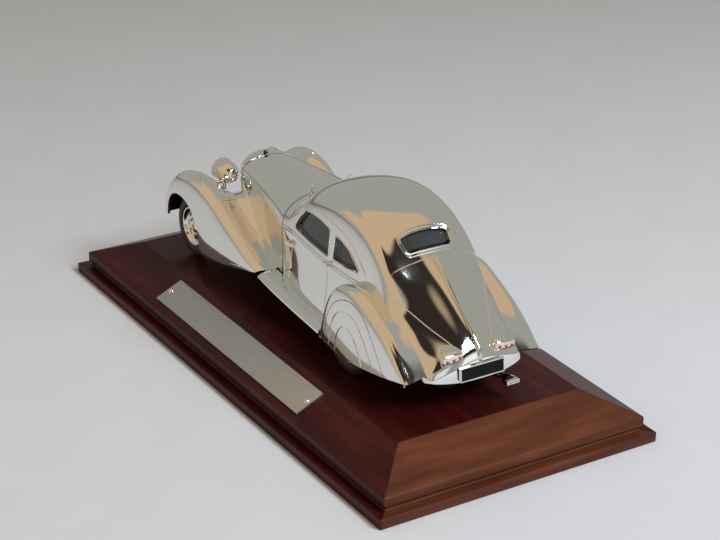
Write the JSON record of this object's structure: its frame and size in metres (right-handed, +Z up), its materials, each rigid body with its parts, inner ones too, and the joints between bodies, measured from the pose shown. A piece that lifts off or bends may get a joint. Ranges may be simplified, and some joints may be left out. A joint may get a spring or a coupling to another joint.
{
  "type": "scale model car",
  "caption": "Silver-plated streamlined 1930s coupe model with closed rear wheels and free-rolling axles, on a moulded wooden plinth.",
  "frame": {"origin": "centre of the plinth's underside, on the surface it stands on", "axes": "+Z up; the car points to -X, so its left side, with the nameplate, faces -Y"},
  "size_m": [0.15, 0.075, 0.0495],
  "materials": {
    "silver_plate": "bright silver-coloured plating, mirror smooth",
    "mahogany": "red-brown stained hardwood under gloss lacquer",
    "plate_metal": "satin silver",
    "steel": "plain bright steel",
    "black_plastic": "moulded, fine matt",
    "gloss_black": "smooth black",
    "smoked_glazing": "clear moulding that reads dark against the cabin",
    "clear_lens": "clear, lightly domed",
    "red_lens": "translucent red",
    "tyre_rubber": "satin black rubber"
  },
  "bodies": {
    "display": {"plinth": "mahogany", "nameplate": "plate_metal", "nameplate_pins": "silver_plate", "plinth_screws": "steel", "base_plate": "black_plastic", "bonnet": "silver_plate", "body_shell": "silver_plate", "front_apron": "silver_plate", "front_wing_left": "silver_plate", "front_wing_right": "silver_plate", "rear_wing_left": "silver_plate", "rear_wing_right": "silver_plate", "rear_spat_left": "silver_plate", "rear_spat_right": "silver_plate", "running_board_left": "silver_plate", "running_board_right": "silver_plate", "radiator_shell": "silver_plate", "radiator_grille": "silver_plate", "radiator_cap": "gloss_black", "headlamp_left": "silver_plate", "headlamp_right": "silver_plate", "headlamp_lenses": "clear_lens", "headlamp_bar": "silver_plate", "windscreen": "smoked_glazing", "door_glass_left": "smoked_glazing", "door_glass_right": "smoked_glazing", "quarter_glass_left": "smoked_glazing", "quarter_glass_right": "smoked_glazing", "rear_glass": "smoked_glazing", "rear_window_frame": "silver_plate", "interior_tub": "black_plastic", "front_seats": "black_plastic", "rear_seat": "black_plastic", "dashboard": "black_plastic", "steering_wheel": "black_plastic", "door_handles": "silver_plate", "door_hinges": "silver_plate", "wipers": "silver_plate", "tail_lamp_pods": "silver_plate", "tail_lamp_jewels": "red_lens", "number_plate": "gloss_black", "number_plate_frame": "silver_plate", "exhaust_pipe": "silver_plate"},
    "front_wheelset": {"front_axle": "steel", "front_rim_left": "silver_plate", "front_rim_right": "silver_plate", "front_tyre_left": "tyre_rubber", "front_tyre_right": "tyre_rubber", "front_hub_caps": "silver_plate"},
    "rear_wheelset": {"rear_axle": "steel", "rear_rim_left": "silver_plate", "rear_rim_right": "silver_plate", "rear_tyre_left": "tyre_rubber", "rear_tyre_right": "tyre_rubber", "rear_hub_caps": "silver_plate"}
  },
  "joints": [
    {"name": "front_axle_spin", "type": "hinge", "parent": "display", "child": "front_wheelset", "pos_m": [-0.0468, 0, 0.0194], "axis": [0, 1, 0], "continuous": true},
    {"name": "rear_axle_spin", "type": "hinge", "parent": "display", "child": "rear_wheelset", "pos_m": [0.0287, 0, 0.0194], "axis": [0, 1, 0], "continuous": true}
  ]
}
